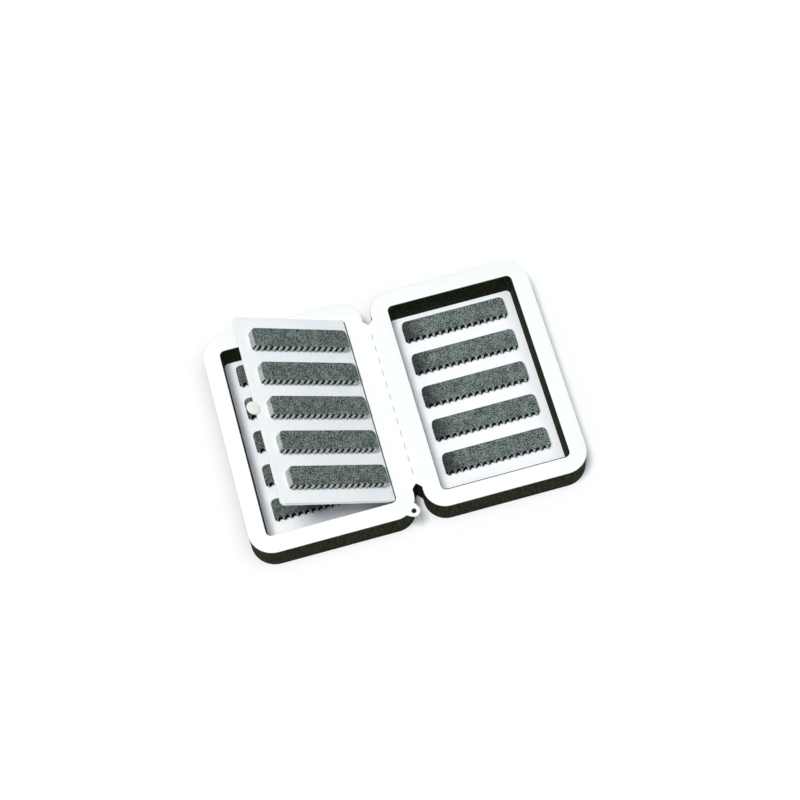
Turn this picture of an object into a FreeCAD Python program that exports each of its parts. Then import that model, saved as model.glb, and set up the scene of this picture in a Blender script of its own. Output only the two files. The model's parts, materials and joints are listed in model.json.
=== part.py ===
import FreeCAD, Part
import math
import os

# Fly box, lying open.
# Millimetres, +Z up. The origin is on the table, under the middle of the fold line.
# The fold line runs along Y, the left half is at -X and the right half at +X.
# The near ends, where the lanyard ear is, are at -Y.

# Overall sizes of one half
half_width = 104.0              # fold line to outer wall
half_length = 148.0             # along the fold
half_height = 20.0              # table to the top of the white face
outer_corner_radius = 15.0
fold_corner_radius = 13.5

# Foam tray
fold_face_inset = 2.9           # fold line to the foam wall beside it
rim_fold = 14.0                 # fold line to the pocket
rim_outer = 11.2                # pocket to outer wall
rim_end = 11.2                  # pocket to end wall
pocket_corner_radius = 2.8
base_thickness = 1.0
liner_thickness = 0.6
liner_clearance = 0.15

# White sheet over both faces
face_thickness = 0.6
crease_gap = 0.2                # cut between the two halves of the sheet
notch_shoulder_inset = 16.3     # end wall to where the sheet leaves the foam wall
notch_tip_inset = 19.4          # end wall to the tip of the V at the fold line
perforation_length = 3.9
perforation_width = 0.4
perforation_end_margin = 6.175  # tip of the V to the first slot
perforation_count = 12

# Lanyard ear, on the near fold corner of the left half
ear_radius = 3.9
ear_hole_radius = 1.45
ear_reach = 1.6                 # corner arc to the middle of the hole
ear_neck_angle = 20.0           # each neck, measured from the corner's diagonal
ear_piece_radius = 8.0          # the ear's share of the sheet, around the hole

# Slit foam strips
strip_width = 13.2
strip_height = 5.4
strip_back_radius = 3.0
strip_side_margin = 6.5         # pocket wall to either end of a strip
tooth_pitch = 4.14
tooth_depth = 1.4
strip_end_least = 1.5           # least plain stretch outside the end teeth
row_count = 5
tray_near_margin = 14.2         # near pocket wall to the first row of teeth
tray_far_margin = 5.8           # far pocket wall to the last row

# Swing leaf
leaf_thickness = 2.6
leaf_hinge_gap = 0.4
leaf_free_gap = 1.2
leaf_end_gap = 0.7
leaf_free_corner_radius = 2.8
leaf_hinge_corner_radius = 1.2
leaf_rest_angle = 32.5          # above flat
leaf_strip_hinge_margin = 4.4   # hinge edge to the strips
leaf_near_margin = 8.3          # near edge to the first row of teeth
leaf_far_margin = 10.3          # far edge to the last row

# Film hinge of the leaf
film_thickness = 0.3
film_face_width = 5.0
film_leaf_width = 3.2
film_bend_gap = 0.3             # hinge line to either flange
film_end_margin = 2.0

# Thumb tab
tab_radius = 4.2
tab_thickness = 0.8
tab_overlap = 1.4               # how far it lies on the leaf
tab_clearance = 0.15            # above and below it when the box is shut

# Magnets, let into the outer rims
magnet_radius = 4.0
magnet_thickness = 2.5
magnet_clearance = 0.1
magnet_spacing = 45.0
magnet_count = 3

overrun = 1.0                   # how far every cut runs past its faces

# Places that follow from the sizes
end_y = half_length / 2
frame_top = half_height - face_thickness
floor_z = base_thickness + liner_thickness
pocket_outer_x = half_width - rim_outer
pocket_end_y = end_y - rim_end
pocket_width = pocket_outer_x - rim_fold
strip_length = pocket_width - 2 * strip_side_margin
tooth_gap_count = int((strip_length - 2 * strip_end_least) / tooth_pitch)
strip_end_margin = (strip_length - tooth_gap_count * tooth_pitch) / 2
leaf_top = half_height + tab_clearance
leaf_hinge_x = rim_fold + leaf_hinge_gap / 2
leaf_edge_x = rim_fold + leaf_hinge_gap
leaf_free_x = pocket_outer_x - leaf_free_gap
leaf_end_y = pocket_end_y - leaf_end_gap
film_end_y = leaf_end_y - film_end_margin
tray_rows_length = 2 * pocket_end_y - tray_near_margin - tray_far_margin
leaf_rows_length = 2 * leaf_end_y - leaf_near_margin - leaf_far_margin
tray_row_pitch = (tray_rows_length - strip_width) / (row_count - 1)
leaf_row_pitch = (leaf_rows_length - strip_width) / (row_count - 1)
notch_tip_y = end_y - notch_tip_inset
notch_shoulder_y = end_y - notch_shoulder_inset
first_slot_y = notch_tip_y - perforation_end_margin - perforation_length / 2
perforation_pitch = 2 * first_slot_y / (perforation_count - 1)
ear_diagonal = math.radians(-45.0)
ear_arc_centre = (-(fold_face_inset + fold_corner_radius), fold_corner_radius - end_y)

up = FreeCAD.Vector(0, 0, 1)
origin = FreeCAD.Vector(0, 0, 0)
across = FreeCAD.Vector(1, 0, 0)
along = FreeCAD.Vector(0, 1, 0)


def rounded_outline(corners):
    """Closed wire through corners (x, y, radius), lines joined by tangent arcs."""
    edges = []
    points = [FreeCAD.Vector(x, y, 0) for x, y, radius in corners]
    starts = []
    ends = []
    for index, (x, y, radius) in enumerate(corners):
        corner = points[index]
        to_last = (points[index - 1] - corner).normalize()
        to_next = (points[(index + 1) % len(points)] - corner).normalize()
        if radius == 0:
            starts.append(corner)
            ends.append(corner)
            continue
        half_angle = to_last.getAngle(to_next) / 2
        reach = radius / math.tan(half_angle)
        first = corner + to_last * reach
        last = corner + to_next * reach
        centre = corner + (to_last + to_next).normalize() * (radius / math.sin(half_angle))
        middle = centre + (corner - centre).normalize() * radius
        edges.append((index, Part.Arc(first, middle, last).toShape()))
        starts.append(first)
        ends.append(last)
    for index in range(len(corners)):
        leave = ends[index]
        arrive = starts[(index + 1) % len(corners)]
        edges.append((index, Part.LineSegment(leave, arrive).toShape()))
    edges.sort(key=lambda item: item[0])
    return Part.Wire([edge for index, edge in edges])


def plate(wire, bottom, thickness):
    """Flat piece: the outline raised to its bottom and thickened upwards."""
    face = Part.Face(wire)
    face.translate(up * bottom)
    return face.extrude(up * thickness)


def mirrored(shape):
    """The same piece on the left half."""
    return shape.mirror(origin, across)


# Outlines of one half, on the right side of the fold
def tray_outline():
    return rounded_outline([
        (fold_face_inset, -end_y, fold_corner_radius),
        (half_width, -end_y, outer_corner_radius),
        (half_width, end_y, outer_corner_radius),
        (fold_face_inset, end_y, fold_corner_radius)])


def pocket_outline(inset=0.0):
    radius = pocket_corner_radius - inset
    return rounded_outline([
        (rim_fold + inset, -pocket_end_y + inset, radius),
        (pocket_outer_x - inset, -pocket_end_y + inset, radius),
        (pocket_outer_x - inset, pocket_end_y - inset, radius),
        (rim_fold + inset, pocket_end_y - inset, radius)])


def sheet_outline():
    """Tray outline plus the web that runs to the fold line between two V notches."""
    return rounded_outline([
        (crease_gap / 2, -notch_tip_y, 0),
        (fold_face_inset, -notch_shoulder_y, 0),
        (fold_face_inset, -end_y, fold_corner_radius),
        (half_width, -end_y, outer_corner_radius),
        (half_width, end_y, outer_corner_radius),
        (fold_face_inset, end_y, fold_corner_radius),
        (fold_face_inset, notch_shoulder_y, 0),
        (crease_gap / 2, notch_tip_y, 0)])


def strip_outline(left_x, teeth_y):
    """Plan of one strip: rounded back corners, V teeth along its near side."""
    right_x = left_x + strip_length
    back_y = teeth_y + strip_width
    corners = [
        (right_x, back_y, strip_back_radius),
        (left_x, back_y, strip_back_radius),
        (left_x, teeth_y + strip_end_margin, 0),
        (left_x + strip_end_margin, teeth_y, 0)]
    for gap in range(tooth_gap_count):
        tip_x = left_x + strip_end_margin + gap * tooth_pitch
        corners.append((tip_x + tooth_pitch / 2, teeth_y + tooth_depth, 0))
        corners.append((tip_x + tooth_pitch, teeth_y, 0))
    corners.append((right_x, teeth_y + strip_end_margin, 0))
    return rounded_outline(corners)


# Pieces of a tray
def magnet_places():
    x = half_width - rim_outer / 2
    first_y = -magnet_spacing * (magnet_count - 1) / 2
    return [(x, first_y + index * magnet_spacing) for index in range(magnet_count)]


def foam_frame():
    pocket = plate(pocket_outline(), base_thickness - overrun, half_height + 2 * overrun)
    frame = plate(tray_outline(), base_thickness, frame_top - base_thickness).cut(pocket)
    depth = magnet_thickness + magnet_clearance
    for x, y in magnet_places():
        seat = Part.makeCylinder(magnet_radius + magnet_clearance, depth + overrun,
                                 FreeCAD.Vector(x, y, frame_top - depth))
        frame = frame.cut(seat)
    return frame


def base_sheet():
    return plate(tray_outline(), 0, base_thickness)


def floor_liner():
    return plate(pocket_outline(liner_clearance), base_thickness, liner_thickness)


def perforations():
    """Slots of the perforated crease, centred on the fold line."""
    slots = []
    for index in range(perforation_count):
        y = index * perforation_pitch - first_slot_y - perforation_length / 2
        corner = FreeCAD.Vector(-perforation_width / 2, y, frame_top - overrun)
        slots.append(Part.makeBox(perforation_width, perforation_length,
                                  face_thickness + 2 * overrun, corner))
    return slots


def face_sheet():
    pocket = plate(pocket_outline(), frame_top - overrun, face_thickness + 2 * overrun)
    sheet = plate(sheet_outline(), frame_top, face_thickness).cut(pocket)
    return sheet.cut(perforations())


def magnets():
    bottom = frame_top - magnet_thickness
    return Part.makeCompound([
        Part.makeCylinder(magnet_radius, magnet_thickness, FreeCAD.Vector(x, y, bottom))
        for x, y in magnet_places()])


def tray_strip(row):
    teeth_y = -pocket_end_y + tray_near_margin + (row_count - row) * tray_row_pitch
    left_x = rim_fold + strip_side_margin
    return plate(strip_outline(left_x, teeth_y), floor_z, strip_height)


# The lanyard ear
def on_corner_arc(angle, radius):
    centre_x, centre_y = ear_arc_centre
    return FreeCAD.Vector(centre_x + radius * math.cos(angle),
                          centre_y + radius * math.sin(angle), 0)


def ear_centre():
    return on_corner_arc(ear_diagonal, fold_corner_radius + ear_reach)


def ear_tangent_point(neck, side):
    """Where the line from a neck touches the ear's round end."""
    centre = ear_centre()
    to_neck = neck - centre
    angle = math.atan2(to_neck.y, to_neck.x)
    angle -= side * math.acos(ear_radius / to_neck.Length)
    return centre + FreeCAD.Vector(math.cos(angle), math.sin(angle), 0) * ear_radius


def ear_piece_zone():
    """Round stretch of the sheet, around the hole, that belongs to the ear."""
    bottom = ear_centre() + up * (frame_top - overrun)
    return Part.makeCylinder(ear_piece_radius, face_thickness + 2 * overrun, bottom)


def lanyard_ear():
    neck_swing = math.radians(ear_neck_angle)
    fold_neck = on_corner_arc(ear_diagonal + neck_swing, fold_corner_radius)
    end_neck = on_corner_arc(ear_diagonal - neck_swing, fold_corner_radius)
    fold_touch = ear_tangent_point(fold_neck, 1)
    end_touch = ear_tangent_point(end_neck, -1)
    round_end = on_corner_arc(ear_diagonal, fold_corner_radius + ear_reach + ear_radius)
    arc_centre = on_corner_arc(ear_diagonal, 0)
    outline = Part.Wire([
        Part.LineSegment(arc_centre, end_neck).toShape(),
        Part.LineSegment(end_neck, end_touch).toShape(),
        Part.Arc(end_touch, round_end, fold_touch).toShape(),
        Part.LineSegment(fold_touch, fold_neck).toShape(),
        Part.LineSegment(fold_neck, arc_centre).toShape()])
    overhang = plate(outline, frame_top, face_thickness)
    sheet_part = mirrored(face_sheet()).common(ear_piece_zone())
    ear = overhang.common(ear_piece_zone()).fuse(sheet_part).removeSplitter()
    hole_bottom = ear_centre() + up * (frame_top - overrun)
    hole = Part.makeCylinder(ear_hole_radius, face_thickness + 2 * overrun, hole_bottom)
    return ear.cut(hole)


# The swing leaf, modelled lying flat in the left tray
def leaf_plate():
    outline = rounded_outline([
        (-leaf_free_x, -leaf_end_y, leaf_free_corner_radius),
        (-leaf_edge_x, -leaf_end_y, leaf_hinge_corner_radius),
        (-leaf_edge_x, leaf_end_y, leaf_hinge_corner_radius),
        (-leaf_free_x, leaf_end_y, leaf_free_corner_radius)])
    return plate(outline, leaf_top - leaf_thickness, leaf_thickness)


def leaf_strip(row):
    teeth_y = -leaf_end_y + leaf_near_margin + (row_count - row) * leaf_row_pitch
    left_x = -leaf_edge_x - leaf_strip_hinge_margin - strip_length
    return plate(strip_outline(left_x, teeth_y), leaf_top, strip_height)


def film_flange(left_x, width, bottom):
    corner = FreeCAD.Vector(left_x, -film_end_y, bottom)
    return Part.makeBox(width, 2 * film_end_y, film_thickness, corner)


def thumb_tab():
    centre_x = -(leaf_free_x - tab_overlap + tab_radius)
    return Part.makeCylinder(tab_radius, tab_thickness, FreeCAD.Vector(centre_x, 0, leaf_top))


def raised(shape):
    """Turns a leaf piece from flat up to where the leaf stands."""
    hinge_line = FreeCAD.Vector(-leaf_hinge_x, 0, leaf_top)
    turned = shape.copy()
    turned.rotate(hinge_line, along, leaf_rest_angle)
    return turned


def all_pieces():
    pieces = {
        "right_base": base_sheet(),
        "right_foam_frame": foam_frame(),
        "right_floor_liner": floor_liner(),
        "right_face_sheet": face_sheet(),
        "right_magnets": magnets(),
        "left_base": mirrored(base_sheet()),
        "left_foam_frame": mirrored(foam_frame()),
        "left_floor_liner": mirrored(floor_liner()),
        "left_face_sheet": mirrored(face_sheet()).cut(ear_piece_zone()),
        "left_magnets": mirrored(magnets()),
        "lanyard_ear": lanyard_ear(),
        "leaf_plate": raised(leaf_plate()),
        "leaf_thumb_tab": raised(thumb_tab()),
        "leaf_hinge_face_flange": film_flange(
            -leaf_hinge_x + film_bend_gap, film_face_width, half_height),
        "leaf_hinge_leaf_flange": raised(film_flange(
            -leaf_hinge_x - film_bend_gap - film_leaf_width, film_leaf_width, leaf_top)),
    }
    for row in range(1, row_count + 1):
        pieces["right_foam_strip_%d" % row] = tray_strip(row)
        pieces["left_foam_strip_%d" % row] = mirrored(tray_strip(row))
        pieces["leaf_foam_strip_%d" % row] = raised(leaf_strip(row))
    return pieces


os.makedirs("parts", exist_ok=True)
for name, shape in sorted(all_pieces().items()):
    shape.exportStep("parts/%s.step" % name)
    print(name, len(shape.Solids), "solids,", round(shape.Volume), "mm3, valid", shape.isValid())
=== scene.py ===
"""Looks of an open foam fly box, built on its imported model.

Metres, +Z up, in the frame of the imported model: the fold line runs along Y through the origin,
the half with the swing leaf is at -X, the plain half at +X and the lanyard ear at the -Y end.
"""

import json
import math
from functools import partial

import bmesh
import bpy
from mathutils import Matrix, Vector, noise


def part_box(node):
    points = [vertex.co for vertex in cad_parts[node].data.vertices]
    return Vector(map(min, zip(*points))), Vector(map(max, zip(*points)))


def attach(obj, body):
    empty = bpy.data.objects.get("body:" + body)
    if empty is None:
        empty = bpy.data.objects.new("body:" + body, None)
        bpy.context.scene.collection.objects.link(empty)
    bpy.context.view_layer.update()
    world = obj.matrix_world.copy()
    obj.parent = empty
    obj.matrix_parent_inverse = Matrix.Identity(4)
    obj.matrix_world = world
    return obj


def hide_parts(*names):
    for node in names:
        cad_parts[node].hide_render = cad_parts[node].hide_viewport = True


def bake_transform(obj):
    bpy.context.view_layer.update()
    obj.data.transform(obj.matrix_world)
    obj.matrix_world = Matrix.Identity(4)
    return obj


bl_info = {
    "name": "Fly Box",
    "version": (1, 0, 0),
    "blender": (4, 5, 0),
    "location": "3D View > Sidebar > Fly Box",
    "description": "Builds the visible surfaces of an open foam fly box on its packed model",
    "category": "Add Mesh",
}

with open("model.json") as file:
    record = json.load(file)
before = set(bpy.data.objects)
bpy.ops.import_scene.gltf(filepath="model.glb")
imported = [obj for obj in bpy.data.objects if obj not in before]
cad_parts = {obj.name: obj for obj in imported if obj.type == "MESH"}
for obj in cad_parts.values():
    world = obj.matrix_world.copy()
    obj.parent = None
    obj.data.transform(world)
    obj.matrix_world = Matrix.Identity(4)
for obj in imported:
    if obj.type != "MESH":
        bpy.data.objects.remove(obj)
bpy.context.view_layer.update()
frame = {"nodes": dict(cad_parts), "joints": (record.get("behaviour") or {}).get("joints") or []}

MM = 0.001
ROWS = range(1, 6)
HINGES = {joint["name"]: joint for joint in frame["joints"]}
LEAF_HINGE = Vector(HINGES["leaf_swing"]["pos_m"])
LEAF_ANGLE = -math.radians(HINGES["leaf_swing"]["range_deg"][0])
TRAY_LOW, TRAY_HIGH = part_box("right_foam_frame")
BASE_LOW, BASE_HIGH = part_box("right_base")
FACE_LOW, FACE_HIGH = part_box("right_face_sheet")
POCKET_LOW, POCKET_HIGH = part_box("right_floor_liner")
STRIP_LOW, STRIP_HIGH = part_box("right_foam_strip_1")

MERGE = 0.001 * MM          # points closer than this are one
SHARP = math.radians(40.0)  # edges that turn more than this stay sharp
BEND_CUTS = 8               # cuts on either side of the fold, where the face sheet bends
ARC_TURN = 0.12             # radians that an arc turns at most from point to point
FILM_BEND = 1.2 * MM        # hinge line to where the film of the leaf stops bending
FLOOR_HALF = 3.0            # half the width of the studio floor

# Where the camera stands, and its right and up, for the viewing angle of the picture
CAMERA_PLACE = Vector((-77.552, -482.711, 1099.923)) * MM
CAMERA_RIGHT = Vector((0.963906, -0.262643, -0.043636))
CAMERA_UP = Vector((0.256942, 0.874709, 0.410932))
SENSOR_WIDTH = 36.0


# Colours and small helpers

def linear(hex_colour):
    """Linear RGBA of an sRGB hex colour."""
    channels = [int(hex_colour[at:at + 2], 16) / 255 for at in (1, 3, 5)]
    return [c / 12.92 if c <= 0.04045 else ((c + 0.055) / 1.055) ** 2.4 for c in channels] + [1.0]


def brightness(colour):
    """How bright a linear colour looks, where white is 1."""
    return 0.2126 * colour[0] + 0.7152 * colour[1] + 0.0722 * colour[2]


# The next four functions each give one setting of a property group.

def Colour(name, description, hex_colour):
    return bpy.props.FloatVectorProperty(
        name=name, description=description, subtype="COLOR", size=4, min=0.0, max=1.0,
        default=linear(hex_colour))


def Length(name, description, millimetres):
    return bpy.props.FloatProperty(
        name=name, description=description, default=millimetres * MM, min=0.0,
        subtype="DISTANCE", unit="LENGTH", precision=5)


def Angle(name, description, degrees):
    return bpy.props.FloatProperty(
        name=name, description=description, default=math.radians(degrees), subtype="ANGLE",
        unit="ROTATION")


def Share(name, description, share):
    return bpy.props.FloatProperty(
        name=name, description=description, default=share, min=0.0, max=1.0, subtype="FACTOR")


# Settings

class FLYBOX_PG_tray(bpy.types.PropertyGroup):
    """Sizes and colours of the two foam trays."""
    foam: Colour("Foam", "Dark side of the tray foam", "#050701")
    foam_light: Colour("Foam Light", "Cell walls that catch the light", "#3e4731")
    cell: Length("Cell", "Width of one foam cell", 0.55)
    streak: Length("Saw Mark", "Distance between saw marks on the cut walls", 1.1)
    wander: Length("Wander", "How far the cut walls stray from true", 0.09)
    edge: Length("Edge", "Rounding of the cut edges", 0.2)
    fold_corner: Length("Fold Corner", "Corner radius beside the fold", 13.5)
    outer_corner: Length("Outer Corner", "Corner radius away from the fold", 15.0)
    pocket_corner: Length("Pocket Corner", "Corner radius of the pocket", 2.8)
    pocket_gap: Length("Pocket Gap", "Clearance of the floor sheet in the pocket", 0.15)
    fold_gap: Length("Fold Gap", "Fold line to the foam between the notches", 0.1)


class FLYBOX_PG_sheet(bpy.types.PropertyGroup):
    """Sizes and colours of the white sheets."""
    face: Colour("Face", "White of the face sheet", "#fdfefd")
    face_shade: Colour("Face Shade", "White in the hollows of its grain", "#f8faf8")
    floor: Colour("Floor", "White of the pocket floors", "#fcfdff")
    floor_shade: Colour("Floor Shade", "White of their faint clouds", "#f5f8fd")
    grain: Length("Grain", "Width of the sheet's fine grain", 0.5)
    cut: Colour("Cut", "Grey of the sheet's cut edges", "#8a948e")
    edge: Length("Edge", "Rounding of the sheet's cut edge", 0.26)
    shoulder: Length("Notch Shoulder", "End wall to the start of the V notch", 16.3)
    tip: Length("Notch Tip", "End wall to the tip of the V notch", 19.4)
    tip_round: Length("Notch Round", "Rounding at the tip of the V", 0.5)
    slot_length: Length("Slot Length", "Length of one slot of the crease", 3.9)
    slot_width: Length("Slot Width", "Width of one slot of the crease", 0.18)
    slot_margin: Length("Slot Margin", "Tip of the V to the first slot", 6.175)
    slots: bpy.props.IntProperty(
        name="Slots", description="Slots along the crease", default=12, min=2, max=40)
    fold_width: Length("Fold Width", "Width of the stretch that bends", 3.0)
    window_fold_gap: Length("Window Fold Gap", "Foam that shows along each fold side", 0.2)
    window_outer_gap: Length("Window Outer Gap", "Foam that shows along each outer side", 0.55)
    window_end_gap: Length("Window End Gap", "Foam that shows at the right window's ends", 0.7)
    leaf_end_gap: Length("Leaf End Gap", "Foam that shows at the left window's ends", 0.1)
    ear_radius: Length("Ear Radius", "Round end of the lanyard ear", 3.9)
    ear_reach: Length("Ear Reach", "Corner to the middle of the lanyard hole", 1.6)
    ear_hole: Length("Ear Hole", "Radius of the lanyard hole", 1.45)
    ear_neck: Angle("Ear Neck", "Each neck of the ear, from the corner's diagonal", 20.0)


class FLYBOX_PG_strip(bpy.types.PropertyGroup):
    """Sizes and colours of the slit foam strips."""
    top: Colour("Top", "Usual grey of the strips' upper side", "#47534f")
    top_dark: Colour("Top Pores", "Open pores of the upper side", "#0e1413")
    top_light: Colour("Top Cells", "Cell walls of the upper side", "#9ba9a2")
    # Painted light: the knife-cut sides are drawn far paler than the top, for the light they catch.
    cut: Colour("Cut", "Grey of the leaf strips' knife-cut sides", "#d0d7d3")
    side_painted_light_pores: Colour("Cut Pores", "Open pores of those sides", "#6a746f")
    tray_side_painted_light: Colour("Tray Cut", "Grey of the tray strips' knife-cut sides", "#e3e9e5")
    tray_side_painted_light_pores: Colour("Tray Cut Pores", "Open pores of those sides", "#9aa39e")
    # Painted shade: flanks that face away from the key are drawn near black.
    torn: Colour("Torn", "Grey of the flanks that the knife tears open", "#101314")
    flank_painted_shade_pores: Colour("Flank Painted Shade Pores", "Open pores of the torn flanks", "#060808")
    # Painted shade: darkens the tray strips' fold-side ends, in shade beside the pocket wall.
    soil: Share("Soil", "How far soil darkens the tray strips' fold-side ends", 0.72)
    painted_shade_reach: Length("Soil Reach", "Length of the soiled ends", 14.0)
    # Painted shade: darkens all of the strips that lie under the leaf.
    leaf_soil: Share("Leaf Soil", "How far soil darkens the strips under the leaf", 0.25)
    # Painted shade: darkens the roots of the notches, which the teeth shade.
    notch_soil: Share("Notch Soil", "How far soil darkens the roots of the notches", 0.95)
    cell: Length("Cell", "Width of one foam cell", 0.5)
    rough: Length("Rough", "Height of the broken cells", 0.1)
    edge: Length("Edge", "Rounding of the strips' edges", 0.3)
    back_corner: Length("Back Corner", "Corner radius away from the teeth", 3.0)
    tooth_pitch: Length("Tooth Pitch", "Tip to tip of the teeth", 4.14)
    tooth_depth: Length("Tooth Depth", "Depth of the V between teeth", 1.4)
    end_least: Length("End", "Least plain stretch outside the end teeth", 1.5)
    mesh: Length("Mesh", "Spacing of the strips' mesh", 0.6)


class FLYBOX_PG_leaf(bpy.types.PropertyGroup):
    """Sizes and colours of the swing leaf, its film hinge and its thumb tab."""
    board: Colour("Board", "White of the leaf", "#fdfeff")
    board_shade: Colour("Board Shade", "White of its faint clouds", "#f7fbff")
    # Painted shade: grey of the leaf's edge line, which is left off its lit free edge.
    cut: Colour("Cut", "Grey of the leaf's cut edges", "#c9d1cd")
    film: Colour("Film", "Tint of the film hinge", "#f5f9f8")
    tab: Colour("Tab", "Cream of the thumb tab", "#fcfcf6")
    tab_rim: Colour("Tab Rim", "Cream of its pressed rim", "#f6f5ea")
    thickness: Length("Thickness", "Thickness of the leaf", 2.6)
    edge: Length("Edge", "Rounding of the leaf's edges", 0.32)
    free_corner: Length("Free Corner", "Corner radius at the free edge", 2.8)
    hinge_corner: Length("Hinge Corner", "Corner radius at the hinge", 1.2)
    film_face: Length("Film On Face", "Width of the film on the face", 5.3)
    film_leaf: Length("Film On Leaf", "Width of the film on the leaf", 3.5)
    film_thickness: Length("Film Thickness", "Thickness of the film", 0.1)
    film_lift: Length("Film Lift", "Glue under the film", 0.03)
    tab_radius: Length("Tab Radius", "Radius of the thumb tab", 4.2)
    tab_thickness: Length("Tab Thickness", "Thickness of the thumb tab", 0.8)


class FLYBOX_PG_stage(bpy.types.PropertyGroup):
    """Floor, light and camera."""
    floor: Colour("Floor", "Colour of the floor", "#ffffff")
    level: Share("Level", "Light on a level surface, where 1 makes white white", 0.99)
    key_colour: Colour("Key Colour", "Colour of the key", "#fffcf8")
    fill_colour: Colour("Fill Colour", "Cool white of the fill and of the room", "#eef7ff")
    key_share: Share("Key Share", "Share of the light that comes from the key", 0.62)
    fill_share: Share("Fill Share", "Share of the light that comes from the fill", 0.3)
    key_height: Angle("Key Height", "Key above the horizon", 77.0)
    key_side: Angle("Key Side", "Key's side, from -X towards -Y", 28.0)
    key_softness: Angle("Key Softness", "Width of the key as seen from the box", 17.0)
    fill_height: Angle("Fill Height", "Fill above the horizon", 80.0)
    fill_side: Angle("Fill Side", "Fill's side, from -X towards -Y", 125.0)
    fill_softness: Angle("Fill Softness", "Width of the fill as seen from the box", 52.0)
    lens: bpy.props.FloatProperty(
        name="Lens", description="Focal length on a 36 mm sensor", default=88.131,
        subtype="DISTANCE_CAMERA", unit="CAMERA")


GROUPS = {
    "flybox_tray": FLYBOX_PG_tray,
    "flybox_sheet": FLYBOX_PG_sheet,
    "flybox_strip": FLYBOX_PG_strip,
    "flybox_leaf": FLYBOX_PG_leaf,
    "flybox_stage": FLYBOX_PG_stage,
}


# Materials

def add_node(tree, kind, settings, inputs):
    """Adds a shader node, sets its properties, and fills or links its inputs."""
    node = tree.nodes.new("ShaderNode" + kind)
    for name, value in settings.items():
        setattr(node, name, value)
    for name, value in inputs.items():
        if isinstance(value, bpy.types.NodeSocket):
            tree.links.new(value, node.inputs[name])
        else:
            node.inputs[name].default_value = value
    return node


def new_material(name):
    """Empty material, and the function that adds a node to it."""
    material = bpy.data.materials.new(name)
    material.use_nodes = True
    material.node_tree.nodes.clear()
    return material, partial(add_node, material.node_tree)


def tray_foam(settings):
    """Closed-cell EVA foam, sawn to shape.

    A matte near-black with an olive cast. Cut cells catch the light as fine specks, and the saw
    leaves faint upright marks on the walls. The cells are drawn about twice as wide as they are,
    so that they show.
    """
    material, add = new_material("Sawn EVA foam")
    place = add("TexCoord", {}, {}).outputs["Object"]
    tall = add("Mapping", {}, {
        "Vector": place, "Scale": (1.0, 1.0, 0.12)})
    cells = add("TexVoronoi", {"feature": "F1"}, {
        "Vector": place, "Scale": 1.0 / settings.cell})
    specks = add("TexNoise", {}, {
        "Vector": place, "Scale": 0.8 / settings.cell, "Detail": 3.0,
        "Roughness": 0.75})
    marks = add("TexNoise", {}, {
        "Vector": tall.outputs["Vector"], "Scale": 1.0 / settings.streak, "Detail": 3.0,
        "Roughness": 0.6})
    both = add("Math", {"operation": "MULTIPLY_ADD"}, {
        0: marks.outputs["Fac"], 1: 0.35, 2: specks.outputs["Fac"]})
    share = add("MapRange", {}, {
        "Value": both.outputs["Value"], "From Min": 0.6, "From Max": 0.86})
    colour = add("Mix", {"data_type": "RGBA"}, {
        0: share.outputs["Result"], 6: settings.foam, 7: settings.foam_light})
    relief = add("Math", {"operation": "ADD"}, {
        0: cells.outputs["Distance"], 1: both.outputs["Value"]})
    bump = add("Bump", {}, {
        "Height": relief.outputs["Value"], "Strength": 0.55, "Distance": 0.12 * MM})
    surface = add("BsdfPrincipled", {}, {
        "Base Color": colour.outputs[2], "Normal": bump.outputs["Normal"],
        "Roughness": 0.88, "IOR": 1.45, "Specular IOR Level": 0.08})
    add("OutputMaterial", {}, {"Surface": surface.outputs["BSDF"]})
    return material


def strip_foam(name, settings, dark, middle, light):
    """Open-pored polyethylene foam of the strips.

    Grey with a green cast and a salt-and-pepper speckle: dark open pores, pale broken cell walls.
    A point attribute darkens it as painted shade: at fold-side ends, under the leaf and in notches.
    """
    material, add = new_material(name)
    place = add("TexCoord", {}, {}).outputs["Object"]
    pores = add("TexVoronoi", {"feature": "F1"}, {
        "Vector": place, "Scale": 1.0 / settings.cell})
    speckle = add("TexNoise", {}, {
        "Vector": place, "Scale": 0.8 / settings.cell, "Detail": 3.0,
        "Roughness": 0.75})
    drift = add("TexNoise", {}, {
        "Vector": place, "Scale": 0.12 / settings.cell, "Detail": 1.0})
    spread = add("MapRange", {}, {
        "Value": speckle.outputs["Fac"], "From Min": 0.4, "From Max": 0.59})
    patch = add("MapRange", {}, {
        "Value": drift.outputs["Fac"], "From Min": 0.3, "From Max": 0.7, "To Min": -0.12,
        "To Max": 0.12})
    share = add("Math", {"operation": "ADD", "use_clamp": True}, {
        0: spread.outputs["Result"], 1: patch.outputs["Result"]})
    lower = add("Mix", {"data_type": "RGBA"}, {
        0: share.outputs["Value"], 6: dark, 7: middle})
    upper = add("Mix", {"data_type": "RGBA"}, {
        0: share.outputs["Value"], 6: middle, 7: light})
    unshaded = add("Mix", {"data_type": "RGBA"}, {
        0: share.outputs["Value"], 6: lower.outputs[2], 7: upper.outputs[2]})
    # Painted shade: the point attribute darkens the colour where the strips lie in shade.
    soil = add("Attribute", {"attribute_name": "soil"}, {})
    kept = add("Math", {"operation": "SUBTRACT"}, {
        0: 1.0, 1: soil.outputs["Fac"]})
    colour = add("VectorMath", {"operation": "SCALE"}, {
        0: unshaded.outputs[2], "Scale": kept.outputs["Value"]})
    relief = add("Math", {"operation": "SUBTRACT"}, {
        0: speckle.outputs["Fac"], 1: pores.outputs["Distance"]})
    bump = add("Bump", {}, {
        "Height": relief.outputs["Value"], "Strength": 0.7, "Distance": 0.2 * MM})
    surface = add("BsdfPrincipled", {}, {
        "Base Color": colour.outputs["Vector"], "Normal": bump.outputs["Normal"],
        "Roughness": 0.95, "IOR": 1.45, "Specular IOR Level": 0.05})
    add("OutputMaterial", {}, {"Surface": surface.outputs["BSDF"]})
    return material


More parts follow.
